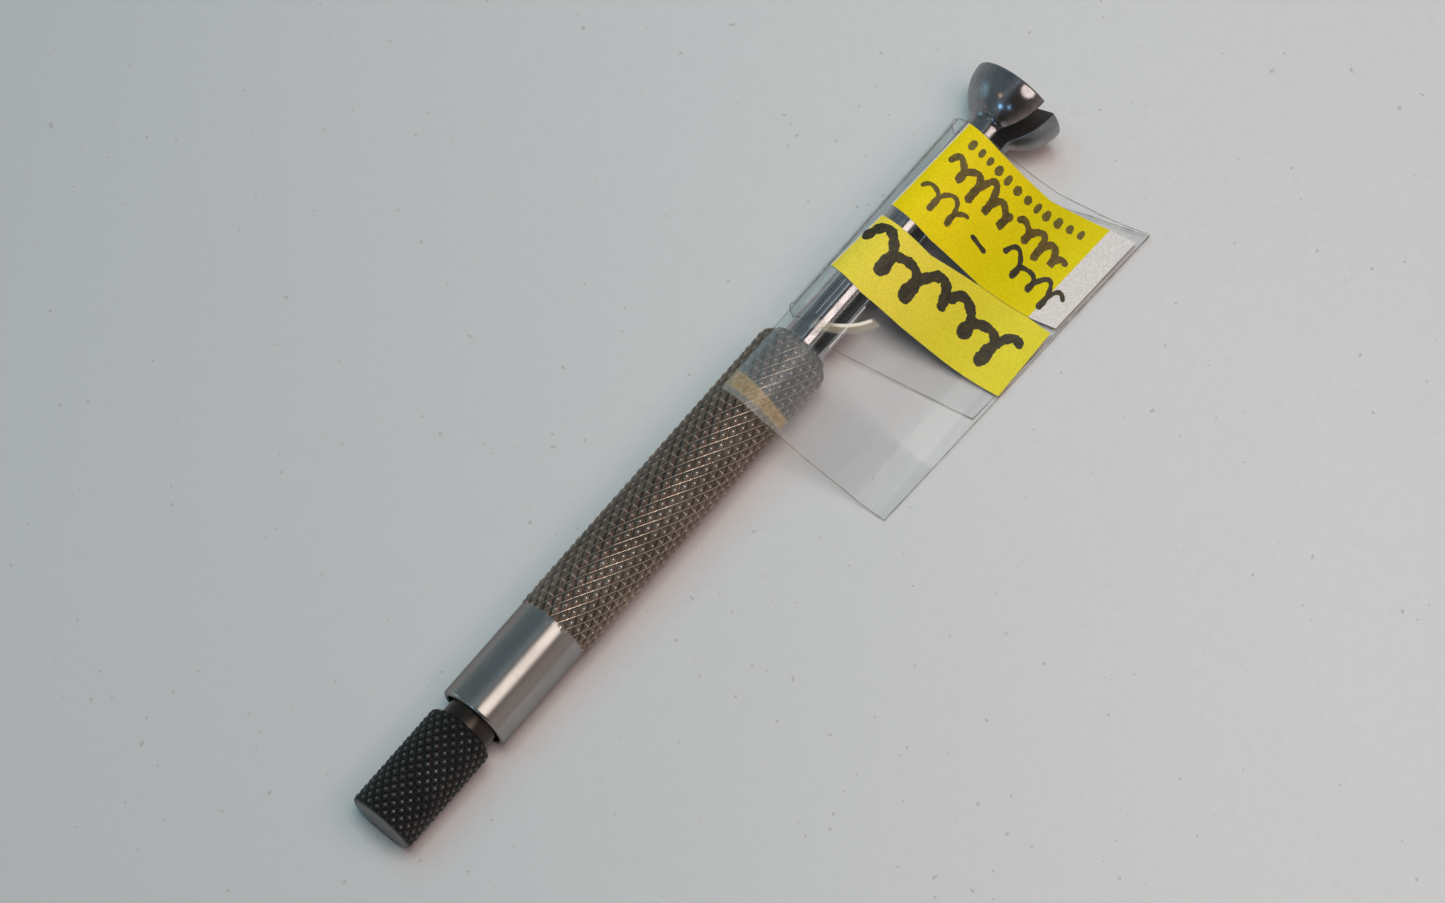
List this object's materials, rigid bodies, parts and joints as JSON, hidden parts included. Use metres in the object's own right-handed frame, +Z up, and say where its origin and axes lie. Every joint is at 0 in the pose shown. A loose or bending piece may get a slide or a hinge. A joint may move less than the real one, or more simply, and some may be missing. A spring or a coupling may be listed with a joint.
{
  "type": "small hole gauge, half-ball type",
  "caption": "Adjustable half-ball small hole gauge: knurled handle, split shank with half-ball head, screw knob at the rear, clear film tag round the neck.",
  "frame": {"origin": "on the tool's axis, at the middle of the plain ground wall at the rear of the handle", "axes": "+X along the tool's axis from the knob to the half-ball head, +Z up when the gauge lies on a bench, -Y towards the side the tag lies on"},
  "size_m": [0.0964, 0.0234, 0.0104],
  "materials": {
    "handle_steel": "knurled, dull",
    "contact_steel": "polished, slightly blued",
    "rod_steel": "ground",
    "black_oxide_steel": "black oxide, satin",
    "clear_film": "clear",
    "yellow_white_paper": "printed paper",
    "yellow_paper": "printed paper"
  },
  "bodies": {
    "handle": {"handle": "handle_steel", "shank_root": "contact_steel", "tag_film": "clear_film", "tag_upper_label": "yellow_white_paper", "tag_lower_label": "yellow_paper"},
    "push_rod": {"push_rod": "rod_steel"},
    "adjusting_screw": {"adjusting_screw": "black_oxide_steel"},
    "upper_contact_half": {"upper_contact_half": "contact_steel"},
    "lower_contact_half": {"lower_contact_half": "contact_steel"}
  },
  "joints": [
    {"name": "rod_slide", "type": "slide", "parent": "handle", "child": "push_rod", "axis": [1, 0, 0], "range_m": [-0.00023, 0.00136]},
    {"name": "knob_turn", "type": "hinge", "parent": "push_rod", "child": "adjusting_screw", "pos_m": [0, 0, 0], "axis": [1, 0, 0], "range_deg": [-133.5, 772.5]},
    {"name": "upper_half_spread", "type": "hinge", "parent": "handle", "child": "upper_contact_half", "pos_m": [0.03952, 0, 0], "axis": [0, -0.729, 0.6845], "range_deg": [-0.29, 1.66]},
    {"name": "lower_half_spread", "type": "hinge", "parent": "handle", "child": "lower_contact_half", "pos_m": [0.03952, 0, 0], "axis": [0, 0.729, -0.6845], "range_deg": [-0.29, 1.66]}
  ],
  "couplings": [
    {"joint": "knob_turn", "follows": "rod_slide", "rad_per_m": 9894.8},
    {"joint": "upper_half_spread", "follows": "rod_slide", "rad_per_m": 21.212},
    {"joint": "lower_half_spread", "follows": "rod_slide", "rad_per_m": 21.212}
  ]
}
